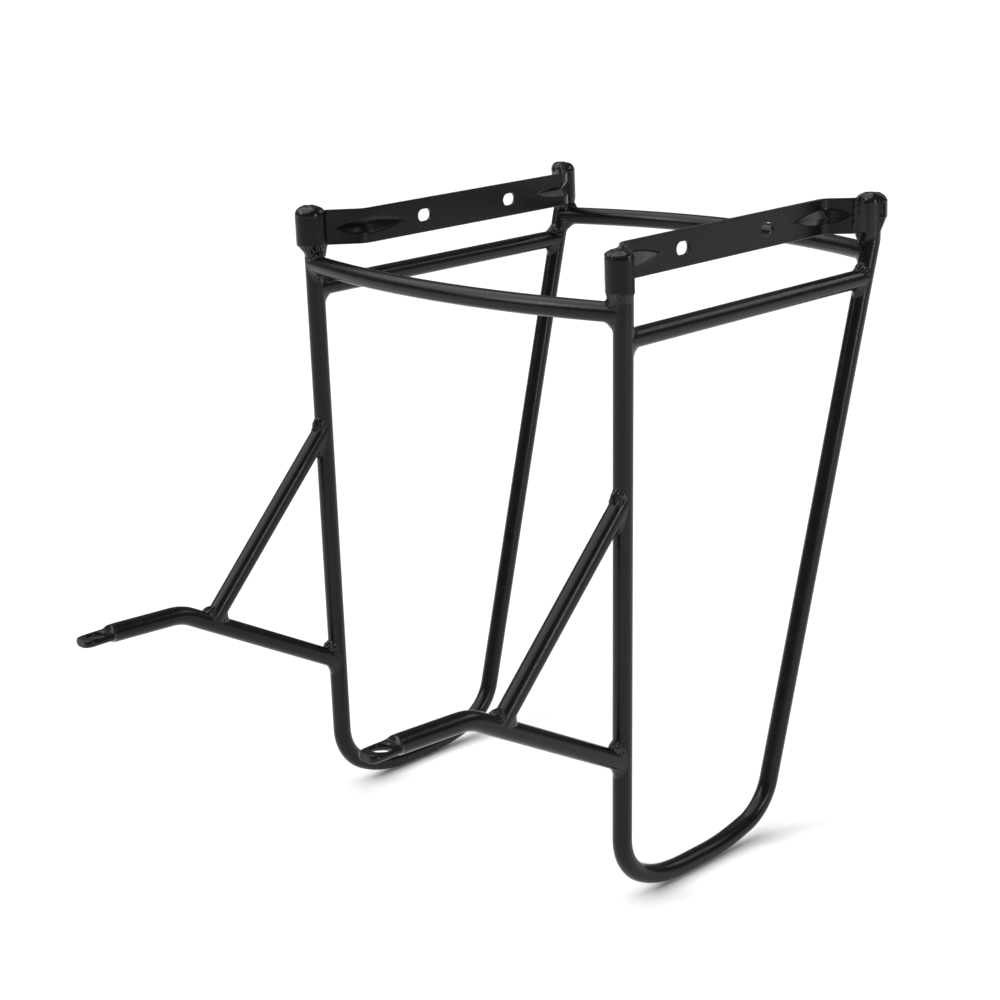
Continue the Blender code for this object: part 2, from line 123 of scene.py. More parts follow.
def coat(name, colour, shade, rough, rough_spread, peel, grain, gloss):
    """Satin powder coat: fine orange peel, slow changes of shade and sheen, faint scuffs."""
    material = bpy.data.materials.new(name)
    material.use_nodes = True
    nodes = material.node_tree.nodes
    links = material.node_tree.links
    shader = nodes["Principled BSDF"]
    where = nodes.new("ShaderNodeTexCoord")

    def field(scale, detail, roughness):
        tex = nodes.new("ShaderNodeTexNoise")
        tex.inputs["Scale"].default_value = scale
        tex.inputs["Detail"].default_value = detail
        tex.inputs["Roughness"].default_value = roughness
        links.new(where.outputs["Object"], tex.inputs["Vector"])
        return tex.outputs["Fac"]

    def span(source, low, high, to_low, to_high):
        node = nodes.new("ShaderNodeMapRange")
        node.inputs["From Min"].default_value = low
        node.inputs["From Max"].default_value = high
        node.inputs["To Min"].default_value = to_low
        node.inputs["To Max"].default_value = to_high
        links.new(source, node.inputs["Value"])
        return node.outputs["Result"]

    slow = field(38.0, 3.0, 0.55)
    ramp = nodes.new("ShaderNodeValToRGB")
    ramp.color_ramp.elements[0].position = 0.34
    ramp.color_ramp.elements[0].color = (*[c * (1 - shade) for c in colour], 1)
    ramp.color_ramp.elements[1].position = 0.68
    ramp.color_ramp.elements[1].color = (*[c * (1 + shade) for c in colour], 1)
    links.new(slow, ramp.inputs["Fac"])
    scuff = field(420.0, 2.0, 0.7)
    worn = span(scuff, 0.70, 0.80, 0.0, 0.35)
    mix = nodes.new("ShaderNodeMix")
    mix.data_type = "RGBA"
    mix.inputs["B"].default_value = (*[min(1.0, c * 2.1) for c in colour], 1)
    links.new(worn, mix.inputs["Factor"])
    links.new(ramp.outputs["Color"], mix.inputs["A"])
    links.new(mix.outputs["Result"], shader.inputs["Base Color"])
    sheen = field(150.0, 4.0, 0.6)
    roughness = span(sheen, 0.3, 0.7, rough - rough_spread, rough + rough_spread)
    links.new(roughness, shader.inputs["Roughness"])
    fine = field(grain, 2.0, 0.5)
    coarse = field(grain * 0.28, 2.0, 0.5)
    total = nodes.new("ShaderNodeMath")
    total.operation = "MULTIPLY_ADD"
    total.inputs[1].default_value = 0.5
    links.new(fine, total.inputs[0])
    links.new(coarse, total.inputs[2])
    bump = nodes.new("ShaderNodeBump")
    bump.inputs["Strength"].default_value = peel
    bump.inputs["Distance"].default_value = 0.0002
    links.new(total.outputs["Value"], bump.inputs["Height"])
    links.new(bump.outputs["Normal"], shader.inputs["Normal"])
    shader.inputs["Specular IOR Level"].default_value = gloss
    return material


COATS = {
    name: coat(name, *values)
    for name, values in (
        ("tube_coat", ((0.0032, 0.0034, 0.0037), 0.22, 0.25, 0.05, 0.28, 1300.0, 0.22)),
        ("strip_coat", ((0.0030, 0.0033, 0.0037), 0.24, 0.25, 0.05, 0.26, 1200.0, 0.18)),
        ("weld_coat", ((0.0034, 0.0036, 0.0038), 0.26, 0.20, 0.05, 0.14, 1500.0, 0.30)),
    )
}


# --- building blocks ---


def closed_mesh(name, points, faces):
    """A mesh whose faces all point outward."""
    mesh = bpy.data.meshes.new(name)
    mesh.from_pydata(points, [], faces)
    shell = bmesh.new()
    shell.from_mesh(mesh)
    bmesh.ops.recalc_face_normals(shell, faces=shell.faces)
    shell.to_mesh(mesh)
    shell.free()
    return mesh


def linked(name, data):
    """A new object of the scene that holds data."""
    obj = bpy.data.objects.new(name, data)
    bpy.context.scene.collection.objects.link(obj)
    return obj


def piece(node, points, faces, side, slot, sharp=PIECE_SHARP):
    """One closed mesh that stands for a CAD node, mirrored to the left when side is -1."""
    name = node + "_look"
    mesh = closed_mesh(name, [(side * p[0], p[1], p[2]) for p in points], faces)
    mesh.shade_smooth()
    mesh.set_sharp_from_angle(angle=sharp)
    mesh.materials.append(COATS[slot])
    obj = linked(name, mesh)
    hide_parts(node)
    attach(obj, "root")
    return obj


def cut(obj, cutters):
    """Takes each (points, faces) cutter out of obj and keeps the result as its mesh."""
    made = []
    for points, faces in cutters:
        cutter = linked("cutter", closed_mesh("cutter", points, faces))
        made.append(cutter)
        modifier = obj.modifiers.new("cut", "BOOLEAN")
        modifier.operation = "DIFFERENCE"
        modifier.solver = "EXACT"
        modifier.object = cutter
    bpy.context.view_layer.update()
    graph = bpy.context.evaluated_depsgraph_get()
    result = bpy.data.meshes.new_from_object(obj.evaluated_get(graph), depsgraph=graph)
    obj.modifiers.clear()
    obj.data = result
    result.shade_smooth()
    result.set_sharp_from_angle(angle=CUT_SHARP)
    for cutter in made:
        bpy.data.objects.remove(cutter, do_unlink=True)


def skin(rings):
    """Quads, as point numbers, between each ring of points and the next."""
    count = len(rings[0])
    quads = []
    for r in range(len(rings) - 1):
        a = r * count
        for i in range(count):
            j = (i + 1) % count
            quads.append((a + i, a + j, a + count + j, a + count + i))
    return quads


def capped(rings):
    """Points and faces of a run of rings, closed at both ends."""
    points = [p for r in rings for p in r]
    count = len(rings[0])
    faces = skin(rings)
    faces.append(tuple(range(count)))
    faces.append(tuple(range(len(points) - count, len(points))))
    return points, faces


def looped(rings):
    """Points and faces of a run of rings whose last one joins the first."""
    points = [p for r in rings for p in r]
    total = len(points)
    return points, [tuple(i % total for i in quad) for quad in skin(rings + [rings[0]])]


def wander(x, y, z, seed):
    """Smooth noise from -1 to 1 at a place in noise units; each seed gives another field."""
    return noise.noise(Vector((x + 17.3 * seed, y - 9.1 * seed, z + 4.7 * seed)))


def smooth(t):
    """0 below 0, 1 above 1, and an even S curve between."""
    t = min(1.0, max(0.0, t))
    return t * t * (3 - 2 * t)


def leg_x(z):
    return HOOP_X + HOOP_LEAN * z


def front_leg(z):
    return Vector((leg_x(z), FRONT_LEG_Y + FRONT_LEG_RAKE * z, z))


def rear_leg(z):
    return Vector((leg_x(z), REAR_LEG_Y + REAR_LEG_RAKE * z, z))


FRONT_LEG_DIR = Vector((HOOP_LEAN, FRONT_LEG_RAKE, 1)).normalized()
REAR_LEG_DIR = Vector((HOOP_LEAN, REAR_LEG_RAKE, 1)).normalized()


def arc(start, heading, radius, turn):
    """Points of a plane arc that leaves start along heading; turn is positive to the left."""
    side = 1 if turn > 0 else -1
    centre = (start[0] - side * radius * sin(heading), start[1] + side * radius * cos(heading))
    count = max(3, round(abs(turn) / ARC_STEP))
    found = []
    for i in range(1, count + 1):
        a = heading + turn * i / count
        found.append((centre[0] + side * radius * sin(a), centre[1] - side * radius * cos(a)))
    return found


def hoop_profile():
    """(y, z) of the hoop's centre line, from the top of the front leg round to the rear top."""
    heading = -pi / 2 - atan(FRONT_LEG_RAKE)
    first = (TOE_BENDS[0][0], radians(TOE_BENDS[0][1]) + atan(FRONT_LEG_RAKE))
    toe = [first] + [(r, radians(a)) for r, a in TOE_BENDS[1:]]
    drop = 0
    a = heading
    for radius, turn in toe:
        drop += radius * (cos(a) - cos(a + turn))
        a += turn
    z = FOOT_Z - drop
    points = [(front_leg(LEG_TOP_Z).y, LEG_TOP_Z), (FRONT_LEG_Y + FRONT_LEG_RAKE * z, z)]
    for radius, turn in toe:
        points += arc(points[-1], heading, radius, turn)
        heading += turn
    lean = atan2(1, REAR_LEG_RAKE)
    rise = radians(HEEL_RISE[1])
    heel = arc((0, FOOT_Z), 0, HEEL_RISE[0], rise)
    heel.append((heel[-1][0] + HEEL_STRAIGHT * cos(rise), heel[-1][1] + HEEL_STRAIGHT * sin(rise)))
    heel += arc(heel[-1], rise, HEEL_R, lean - rise)
    shift = REAR_LEG_Y + REAR_LEG_RAKE * heel[-1][1] - heel[-1][0]
    points += [(shift, FOOT_Z)] + [(shift + y, z) for y, z in heel]
    corner_z = (KNUCKLE_Y - REAR_LEG_Y) / REAR_LEG_RAKE
    tangent = KNUCKLE_R * tan((pi / 2 - lean) / 2)
    bend = (KNUCKLE_Y - tangent * cos(lean), corner_z - tangent * sin(lean))
    points += [bend] + arc(bend, lean, KNUCKLE_R, pi / 2 - lean) + [(KNUCKLE_Y, LEG_TOP_Z)]
    return points


def frames(path):
    """A cross-section frame at every point of a path, carried along without twist."""
    found = []
    across = None
    for i, point in enumerate(path):
        before = (point - path[i - 1]).normalized() if i else None
        after = (path[i + 1] - point).normalized() if i + 1 < len(path) else None
        along = ((before or after) + (after or before)).normalized()
        if across is None:
            across = Vector((1, 0, 0)) if abs(along.x) < 0.8 else Vector((0, 0, 1))
        across = (across - along * across.dot(along)).normalized()
        found.append((point, along, across, along.cross(across)))
    return found


def ring(station, radius):
    """A circle of points round a frame of a path."""
    point, _, across, up = station
    turns = [2 * pi * i / ROUND for i in range(ROUND)]
    return [point + across * (radius * cos(a)) + up * (radius * sin(a)) for a in turns]


def onto_tube(point, direction, axis, radius):
    """Where the line from point along direction first meets the round surface about axis."""
    base, along = axis
    p = (point - base) - along * (point - base).dot(along)
    d = direction - along * direction.dot(along)
    a = d.dot(d)
    b = p.dot(d)
    root = sqrt(max(0.0, b * b - a * (p.dot(p) - radius * radius)))
    return point + direction * ((-b - root) / a)


def tube(node, path, side=1, start_on=None, end_on=None):
    """A round tube; an end that meets another tube is coped a little into it."""
    stations = frames(path)
    rings = [ring(s, TUBE_R) for s in stations]
    if start_on:
        rings[0] = [onto_tube(p, -stations[0][1], start_on, TUBE_R - SUNK) for p in rings[0]]
    if end_on:
        rings[-1] = [onto_tube(p, stations[-1][1], end_on, TUBE_R - SUNK) for p in rings[-1]]
    return piece(node, *capped(rings), side, "tube_coat")


def crossbar_path(y, bow):
    """An arc from leg to leg that bows out by bow, with a short straight length at each end."""
    half = leg_x(CROSSBAR_Z)
    radius = (half * half + bow * bow) / (2 * abs(bow))
    way = 1 if bow > 0 else -1
    span = atan2(half, radius - abs(bow))
    reach = span - CROSSBAR_END / radius
    points = []
    for i in range(-24, 25):
        a = reach * i / 24
        out = radius * cos(a) - radius + abs(bow)
        points.append(Vector((radius * sin(a), y + way * out, CROSSBAR_Z)))
    return [Vector((-half, y, CROSSBAR_Z))] + points + [Vector((half, y, CROSSBAR_Z))]


def arm_path():
    """Centre line of an arm from the leg to its shoulder, and the heading it leaves the leg on."""
    root = front_leg(ARM_ROOT_Z)
    corner = Vector((ARM_FRONT_X, ARM_BEND_Y, ARM_BEND_Z))
    rise = (corner - root).normalized()
    ahead = Vector((0, -cos(ARM_FRONT_SLOPE), sin(ARM_FRONT_SLOPE)))
    turn = acos(rise.dot(ahead))
    into = corner - rise * (ARM_BEND_R * tan(turn / 2))
    normal = (ahead - rise * ahead.dot(rise)).normalized()
    centre = into + normal * ARM_BEND_R
    path = [root]
    for i in range(15):
        a = turn * i / 14
        path.append(centre - normal * (ARM_BEND_R * cos(a)) + rise * (ARM_BEND_R * sin(a)))
    out = path[-1]
    path.append(out + ahead * ((SHOULDER_Y - out.y) / ahead.y))
    return path, rise


def strut_ends():
    """Top and foot of a strut's centre line, and the heading of the arm it stands on."""
    top = front_leg(STRUT_TOP_Z)
    root = front_leg(ARM_ROOT_Z)
    rise = arm_path()[1]
    foot = root + rise * ((root.y - STRUT_FOOT_Y) / -rise.y)
    return top, foot, rise


# --- arms with pressed eyelets ---


def tab_point(angle, half_width, half_thickness):
    """(x, z) of a pressed tube's section: flat top and bottom with half-round edges."""
    straight = half_width - half_thickness
    flatness = 0.75
    x = cos(angle)
    z = sin(angle)
    reach = max(abs(x), abs(z) * flatness)
    x, z = x / reach, z / reach
    across = 1 if x > 0 else -1
    up = 1 if z > 0 else -1
    if abs(x) < 0.999:
        return x * straight, up * half_thickness
    turn = atan2(abs(z), 1.0) * 2
    turn = min(pi / 2, turn * (pi / 2) / (2 * atan2(1 / flatness, 1.0)))
    return across * (straight + half_thickness * cos(turn)), up * half_thickness * sin(turn)


def arm(node, side):
    """Round tube from the leg to the shoulder, then a pressed flat tab with the fixing hole."""
    path, rise = arm_path()
    stations = frames(path)
    rings = [ring(s, TUBE_R) for s in stations]
    rings[0] = [onto_tube(p, -rise, (path[0], FRONT_LEG_DIR), TUBE_R - SUNK) for p in rings[0]]
    shoulder = path[-1]
    angles = [atan2(p.z - shoulder.z, p.x - shoulder.x) for p in rings[-1]]
    rings.pop()

    def section(reach, share, press, low):
        """A section past the shoulder: share of the full width, upper and lower pressing."""
        found = []
        for a in angles:
            x, z = tab_point(a, TAB_HALF_WIDTH * share, TAB_HALF_THICKNESS)
            fall = press if sin(a) > 0 else low
            found.append(shoulder + Vector((
                TUBE_R * cos(a) + (x - TUBE_R * cos(a)) * max(press, low),
                -reach,
                TUBE_R * sin(a) + (z - TUBE_R * sin(a)) * fall,
            )))
        return found

    for reach, press, low in (
        (-0.0040, 0.0, 0.0), (-0.0016, 0.0, 0.03), (-0.0006, 0.02, 0.10), (0.0, 0.06, 0.22),
        (0.0005, 0.30, 0.38), (0.0010, 0.72, 0.55), (0.0014, 0.93, 0.70), (0.0020, 1.0, 0.84),
        (0.0030, 1.0, 0.95), (0.0044, 1.0, 1.0), (0.0070, 1.0, 1.0),
    ):
        rings.append(section(reach, 1.0, press, low))
    straight = SHOULDER_Y - NOSE_Y - NOSE_ROUND
    rings.append(section(straight * 0.7, 1.0, 1.0, 1.0))
    for i in range(15):
        a = radians(90) * i / 14
        share = 1 - TAB_TAPER + TAB_TAPER * cos(a)
        rings.append(section(straight + NOSE_ROUND * sin(a), share, 1.0, 1.0))
    obj = piece(node, *capped(rings), side, "tube_coat")
    centre = Vector((side * shoulder.x, EYELET_Y, shoulder.z))
    drill = []
    deep = TAB_HALF_THICKNESS
    turns = [2 * pi * (i + 0.5) / 96 for i in range(96)]
    for r, z in (
        (EYELET_R + 0.0016, -deep - 0.0003), (EYELET_R + 0.0011, -deep - 0.00001),
        (EYELET_R + 0.0004, -deep + 0.0007), (EYELET_R, -deep + 0.0015), (EYELET_R, deep - 0.0015),
        (EYELET_R + 0.0004, deep - 0.0007), (EYELET_R + 0.0011, deep + 0.00001),
        (EYELET_R + 0.0016, deep + 0.0003),
    ):
        drill.append([centre + Vector((r * cos(a), r * sin(a), z)) for a in turns])
    cut(obj, [capped(drill)])


# --- strip rails ---


def hook_centre(way):
    """Plan centre of the hook round the front (1) or rear (-1) leg, at the rail's height."""
    leg_y = front_leg(RAIL_Z).y if way > 0 else KNUCKLE_Y
    return Vector((leg_x(RAIL_Z), leg_y + HOOK_SHIFT_Y))


def hook_points(bend, way):
    """Plan points of a rail end: straight at the leg, a small neck bend, then round the leg."""
    centre = hook_centre(way)
    away = bend - centre
    neck = atan2(away.y, away.x)
    reach = HOOK_R + HOOK_NECK_R
    swing = asin(HOOK_NECK_R / reach)
    start = neck + way * swing
    pivot = centre + Vector((cos(start), sin(start))) * reach
    points = []
    for i in range(13):
        a = neck - way * (pi / 2 + (pi / 2 - swing) * i / 12)
        points.append(pivot + Vector((cos(a), sin(a))) * HOOK_NECK_R)
    for i in range(1, HOOK_STEPS + 1):
        a = start + (way * HOOK_END - start) * i / HOOK_STEPS
        points.append(centre + Vector((cos(a), sin(a))) * HOOK_R)
    return points


def bend_points(tangent_point, corner, way):
    """The rounded bend of a rail with the dart's share, listed from the diagonal to the middle."""
    diagonal = (tangent_point - corner).normalized()
    middle = Vector((0, way))
    turn = pi - acos(diagonal.dot(middle))
    normal = (diagonal + middle).normalized()
    across = (middle - normal * middle.dot(normal)).normalized()
    centre = corner + normal * (RAIL_BEND_R / cos(turn / 2))
    clear = RAIL_BEND_R * tan(turn / 2)
    points = []
    for i in range(15):
        reach = DART_DIAGONAL + (clear - DART_DIAGONAL) * i / 14
        points.append((corner + diagonal * reach, 1 - reach / DART_DIAGONAL))
    for i in range(1, 10):
        a = turn * (i / 10 - 0.5)
        share = 1 - 0.5 * clear * abs(i / 5 - 1) / DART_DIAGONAL
        points.append((centre + (across * sin(a) - normal * cos(a)) * RAIL_BEND_R, share))
    for i in range(19):
        reach = clear + (DART_MID - clear) * i / 18
        points.append((corner + middle * reach, 1 - reach / DART_MID))
    return points


def rail_plan():
    """Plan centre line of a rail as (point, dart share) pairs, front hook to rear hook."""
    front_bend = Vector((RAIL_X, BEND_FRONT_Y))
    rear_bend = Vector((RAIL_X, BEND_REAR_Y))
    front = hook_points(front_bend, 1)
    rear = hook_points(rear_bend, -1)
    plan = [(p, 0.0) for p in reversed(front)]
    plan += bend_points(front[0], front_bend, 1)
    for i in range(1, 24):
        y = BEND_FRONT_Y + DART_MID + (BEND_REAR_Y - BEND_FRONT_Y - 2 * DART_MID) * i / 24
        plan.append((Vector((RAIL_X, y)), 0.0))
    plan += reversed(bend_points(rear[0], rear_bend, -1))
    plan += [(p, 0.0) for p in rear]
    return plan


def hook_lift(way, share):
    """How far a rear hook's lower edge has risen at a share of its way from neck to end."""
    return HOOK_LIFT * smooth((share - 0.52) / 0.30) if way < 0 else 0.0


def strip_rows():
    """(offset, height) round the strip's section, from the outer face, with rounded edges."""
    half = RAIL_HEIGHT / 2
    flat = half - EDGE_R
    face = [flat * i / 14 for i in range(-14, 15)]
    rows = [(1, z, STRIP / 2) for z in face]
    for i in range(1, 6):
        a = pi / 2 * i / 5
        rows.append((1, flat + EDGE_R * sin(a), STRIP / 2 - EDGE_R + EDGE_R * cos(a)))
    right = rows[:]
    for i in range(4, -1, -1):
        a = pi / 2 * i / 5
        right.append((-1, flat + EDGE_R * sin(a), STRIP / 2 - EDGE_R + EDGE_R * cos(a)))
    left = [(-1, z, STRIP / 2) for z in reversed(face[:-1])]
    low = []
    for way in (-1, 1):
        steps = range(1, 6) if way < 0 else range(4, 0, -1)
        for i in steps:
            a = pi / 2 * i / 5
            low.append((way, -flat - EDGE_R * sin(a), STRIP / 2 - EDGE_R + EDGE_R * cos(a)))
    return [(way * off, z) for way, z, off in right + left + low]


def slot_cutter(side, y):
    """Points and faces that cut one slot with slightly broken edges."""
    radius = SLOT_HEIGHT / 2
    shift = (SLOT_LENGTH - SLOT_HEIGHT) / 2
    rim = []
    for end in (1, -1):
        for i in range(25):
            a = (i / 24 - 0.5) * pi + (0 if end > 0 else pi)
            rim.append((y + end * shift, radius * cos(a), radius * sin(a)))
    levels = []
    for dx, grow in (
        (-0.004, 0.0028), (-0.00128, 0.0003), (-0.00095, 0.0),
        (0.00095, 0.0), (0.00128, 0.0003), (0.004, 0.0028),
    ):
        wider = 1 + grow / radius
        levels.append([(side * RAIL_X + dx, c + u * wider, RAIL_Z + v * wider) for c, u, v in rim])
    return capped(levels)


def rail(node, side):
    """A flat strip on edge, hooked round both legs, with a pressed dart in each bend."""
    plan = rail_plan()
    rows = strip_rows()
    half = RAIL_HEIGHT / 2
    rings = []
    for i, (point, share) in enumerate(plan):
        before = (point - plan[i - 1][0]).normalized() if i else None
        after = (plan[i + 1][0] - point).normalized() if i + 1 < len(plan) else None
        along = ((before or after) + (after or before)).normalized()
        lean = along.dot(before) if before else 1.0
        out = Vector((along.y, -along.x)) / lean
        full = sin(pi / 2 * min(1.0, share * 1.25)) ** 0.75
        dart = DART_HALF_HEIGHT * max(0.02, sin(pi / 2 * min(1.0, share * 1.15)) ** 0.7)
        if i < HOOK_STEPS:
            hooked = 1 - i / HOOK_STEPS
        else:
            hooked = max(0.0, (i - len(plan) + HOOK_STEPS + 1) / HOOK_STEPS)
        lift = hook_lift(-1, hooked) if i > HOOK_STEPS else 0.0
        melt = smooth(hooked * 7)
        section = []
        for off, z in rows:
            push = DART_DEPTH * full * max(0.0, 1 - abs(z) / dart)
            if off < 0 and melt:
                high = min(1.0, max(0.0, (z - half + HOOK_MELT) / HOOK_MELT))
                low = min(1.0, max(0.0, (HOOK_TOE - half - z) / HOOK_TOE))
                top_in = 0.0019 * (1 - sqrt(1 - high ** 2))
                low_in = 0.0007 * (1 - sqrt(1 - low ** 2))
                push += melt * (top_in + low_in)
            spot = point + out * (off + push)
            z = RAIL_Z + half - (half - z) * (1 - lift / RAIL_HEIGHT)
            section.append(Vector((spot.x, spot.y, z)))
        rings.append(section)
    obj = piece(node, *capped(rings), side, "strip_coat")
    cut(obj, [slot_cutter(side, y) for y in SLOT_YS])


# --- welds ---


def walk(start, centre, axis, distance, radius):
    """Walks from start over a tube's surface, straight away from the joint's centre.

    Returns the point reached and the one under it, inside the tube.
    """
    base, along = axis
    height = (start - centre).dot(along)
    radial = (start - base) - along * (start - base).dot(along)
    facing = (centre - base) - along * (centre - base).dot(along)
    facing = facing.normalized()
    side = along.cross(facing)
    angle = atan2(radial.dot(side), radial.dot(facing))
    flat = Vector((TUBE_R * angle, height))
    moved = flat + flat.normalized() * distance
    turn = moved.x / TUBE_R
    foot = base + along * (centre - base).dot(along)

    def spot(r):
        return foot + facing * (r * cos(turn)) + side * (r * sin(turn)) + along * moved.y

    return spot(radius), spot(radius * 0.7)


def reach_at(reach, near, far):
    """The reach of a bead, given at its sides, its near point and its far point."""
    return reach[0] + (reach[1] - reach[0]) * near + (reach[2] - reach[0]) * far


def bead(node, side, joint, away, axis, towards, shape, seed):
    """A weld in the corner where a branch tube, pointing away, meets the tube on axis.

    shape is (branch, main, fat, ripple). branch and main are its reach along each tube in
    millimetres, as (at the sides, towards, opposite). fat and ripple are (towards, opposite):
    fat 0 is a hollow fillet and over 1 a full bead, and ripple is a height in millimetres.
    """
    branch, main, fat, ripple = shape
    branch, main, ripple = [[v * 0.001 for v in row] for row in (branch, main, ripple)]
    spread = axis[1] * (1 if axis[1].dot(towards) > 0 else -1)
    spread = (spread - away * spread.dot(away)).normalized()
    across = away.cross(spread)
    centre = onto_tube(joint + away * 0.05, -away, axis, TUBE_R)
    rings = []
    for i in range(WELD_ROUND):
        a = 2 * pi * i / WELD_ROUND
        radial = spread * cos(a) + across * sin(a)
        near = max(0.0, cos(a)) ** 1.4
        far = max(0.0, -cos(a)) ** 1.4
        uneven = 1 + 0.10 * wander(3 * cos(a), 3 * sin(a), 0.0, seed)
        reach_b = reach_at(branch, near, far) * uneven
        uneven = 1 + 0.10 * wander(3 * cos(a), 3 * sin(a), 5.0, seed)
        reach_m = reach_at(main, near, far) * uneven
        share = 0.5 + 0.5 * cos(a)
        fullness = fat[1] + (fat[0] - fat[1]) * smooth(share)
        rough = ripple[1] + (ripple[0] - ripple[1]) * smooth(1.4 * cos(a) - 0.1)
        root = onto_tube(joint + radial * TUBE_R + away * 0.05, -away, axis, TUBE_R)
        on_branch = root + away * reach_b - radial * SUNK
        reach_m *= 1 - 0.5 * sin(a) ** 2
        on_main, deep = walk(root, centre, axis, reach_m, TUBE_R - SUNK)
        middle = (on_branch + on_main) / 2
        out = (middle - root).normalized()
        pull = root.lerp(middle, fullness)
        section = []
        for k in range(BEAD_STEPS + 1):
            t = k / BEAD_STEPS
            spot = on_branch * (1 - t) ** 2 + pull * (2 * t * (1 - t)) + on_main * t ** 2
            phase = a * (TUBE_R + 0.001) / RIPPLE_PITCH + 0.30 * (2 * t - 1) ** 2 + seed
            wave = 1 - abs(sin(pi * phase)) ** RIPPLE_SHARPNESS
            mm = spot * 1000
            lumps = wander(mm.x * 0.55, mm.y * 0.55, mm.z * 0.55, seed)
            lift = rough * (0.75 - 1.35 * wave + 0.9 * lumps) * sin(pi * t) ** 0.6
            section.append(spot + out * lift)
        section.append(deep)
        section.append(root + away * reach_b - radial * 0.0016)
        rings.append(section)
    return piece(node, *looped(rings), side, "weld_coat", radians(60))


def wrapped(turn, start, start_width, past, past_width):
    """1 where the rail wraps the leg and 0 where the leg is bare, at a turn round it.

    The wrap fades in after start and out before past degrees beyond the full turn.
    """
    on = smooth((turn - radians(start)) / radians(start_width))
    on *= smooth((radians(360 + past) - turn) / radians(past_width))
    if turn < radians(20):
        on = max(on, smooth((radians(past) - turn) / radians(past_width)))
    return on


def hook_weld(node, side, way, seed):
    """Weld that fills a rail hook round its leg and tapers from its lower edge down the leg."""
    centre = hook_centre(way)
    bottom = RAIL_Z - RAIL_HEIGHT / 2
    top = RAIL_Z + RAIL_HEIGHT / 2 - 0.0006
    hook = HOOK_R + STRIP / 2 + 0.00006
    bare = TUBE_R + 0.00022
    rings = []
    levels = 54
    for k in range(levels + 1):
        z = top - (top - bottom + HOOK_WELD_DEPTH) * k / levels
        leg = front_leg(z) if way > 0 else rear_leg(z)
        if way < 0:
            leg.y = min(KNUCKLE_Y, leg.y)
        found = []
        for i in range(WELD_ROUND):
            a = 2 * pi * i / WELD_ROUND
            turn = (way * a) % (2 * pi)
            on = wrapped(turn, 104, 30, 8, 16)
            lift = hook_lift(way, (turn - radians(150)) / radians(204))
            if way < 0 and turn <= radians(20):
                lift = HOOK_LIFT
            edge = bottom + lift
            inward = smooth(0.5 - 0.8 * cos(a))
            end = TUBE_R - SUNK + 0.0020 * inward
            ragged = HOOK_WELD_DEPTH * (0.90 + 0.30 * wander(2 * cos(a), 2 * sin(a), 5.0, seed))
            t = min(1.0, max(0.0, (edge + 0.0010 - z) / (ragged + 0.0006 + 0.4 * lift)))
            if t == 0.0:
                reach = bare + (HOOK_R - bare) * on
                reach += 0.0024 * exp(-(((turn - radians(130)) / radians(9)) ** 2))
                reach += 0.0021 * exp(-(((turn - radians(110)) / radians(15)) ** 2))
                reach += 0.0003 * wander(3 * cos(a), 3 * sin(a), z * 700, seed) * on
            else:
                full = bare + (hook - bare) * on
                reach = full + (end - full) * t ** (0.85 if inward > 0.5 else 1.0)
                phase = a * 0.0065 / RIPPLE_PITCH + 0.6 * t + seed
                wave = 1 - abs(sin(pi * phase)) ** RIPPLE_SHARPNESS
                lumps = wander(3 * cos(a), 3 * sin(a), 4.0 * t, seed)
                lumps += 0.6 * wander(8 * cos(a), 8 * sin(a), 9.0 * t, seed)
                height = on * 0.00060 * (0.15 + 0.85 * smooth(0.5 - 0.7 * cos(a)))
                crest = sin(pi * min(1.0, t + 0.04)) ** 0.6
                reach += height * (0.40 - wave + 0.8 * lumps) * crest
            hold = on * (1 - t)
            x = leg.x + (centre.x - leg.x) * hold
            y = leg.y + (centre.y - leg.y) * hold
            found.append(Vector((x + reach * cos(a), y + reach * sin(a), z)))
        rings.append(found)
    return piece(node, *capped(rings), side, "weld_coat", radians(60))


def cap(node, side, way, seed, rough, melt=HOOK_MELT, rise=0.0030, nub=0.0):
    """A domed weld over the top of a leg and the rail hook round it."""
    centre = hook_centre(way)
    base = RAIL_Z + RAIL_HEIGHT / 2
    hook = HOOK_R + STRIP / 2 + 0.00002
    bare = TUBE_R + 0.0006
    count = 144
    levels = 30
    rings = []
    for k in range(levels + 1):
        turn = pi / 2 * k / levels
        found = []
        for i in range(count):
            a = 2 * pi * i / count
            on = wrapped((way * a) % (2 * pi), 118, 22, 6, 10)
            rim = bare + (hook - bare) * on
            drip = 0.0010 * max(0.0, wander(2 * cos(a), 2 * sin(a), 7.0, seed)) * (rough / 0.0004)
            share = cos(turn) ** 0.8 if k < levels else 0.0
            x = rim * share * cos(a)
            y = rim * share * sin(a)
            lumps = wander(x * 380, y * 380, 0.0, seed) + 0.45 * wander(x * 900, y * 900, 3.0, seed)
            foot = base - melt - drip * cos(turn)
            z = foot + (base + rise - foot) * sin(turn) ** 0.9 + rough * lumps * sin(turn) ** 0.5
            z += nub * exp(-((x + 0.0020) ** 2 + (y - 0.0020) ** 2) / 0.0018 ** 2)
            found.append(Vector((centre.x + x, centre.y + y, min(base + CAP_TOP, z))))
        rings.append(found)
    foot = [centre + (p.xy - centre) * 0.84 for p in rings[0]]
    under = [Vector((q.x, q.y, p.z - 0.0002)) for p, q in zip(rings[0], foot)]
    return piece(node, *capped([under] + rings), side, "weld_coat", radians(70))


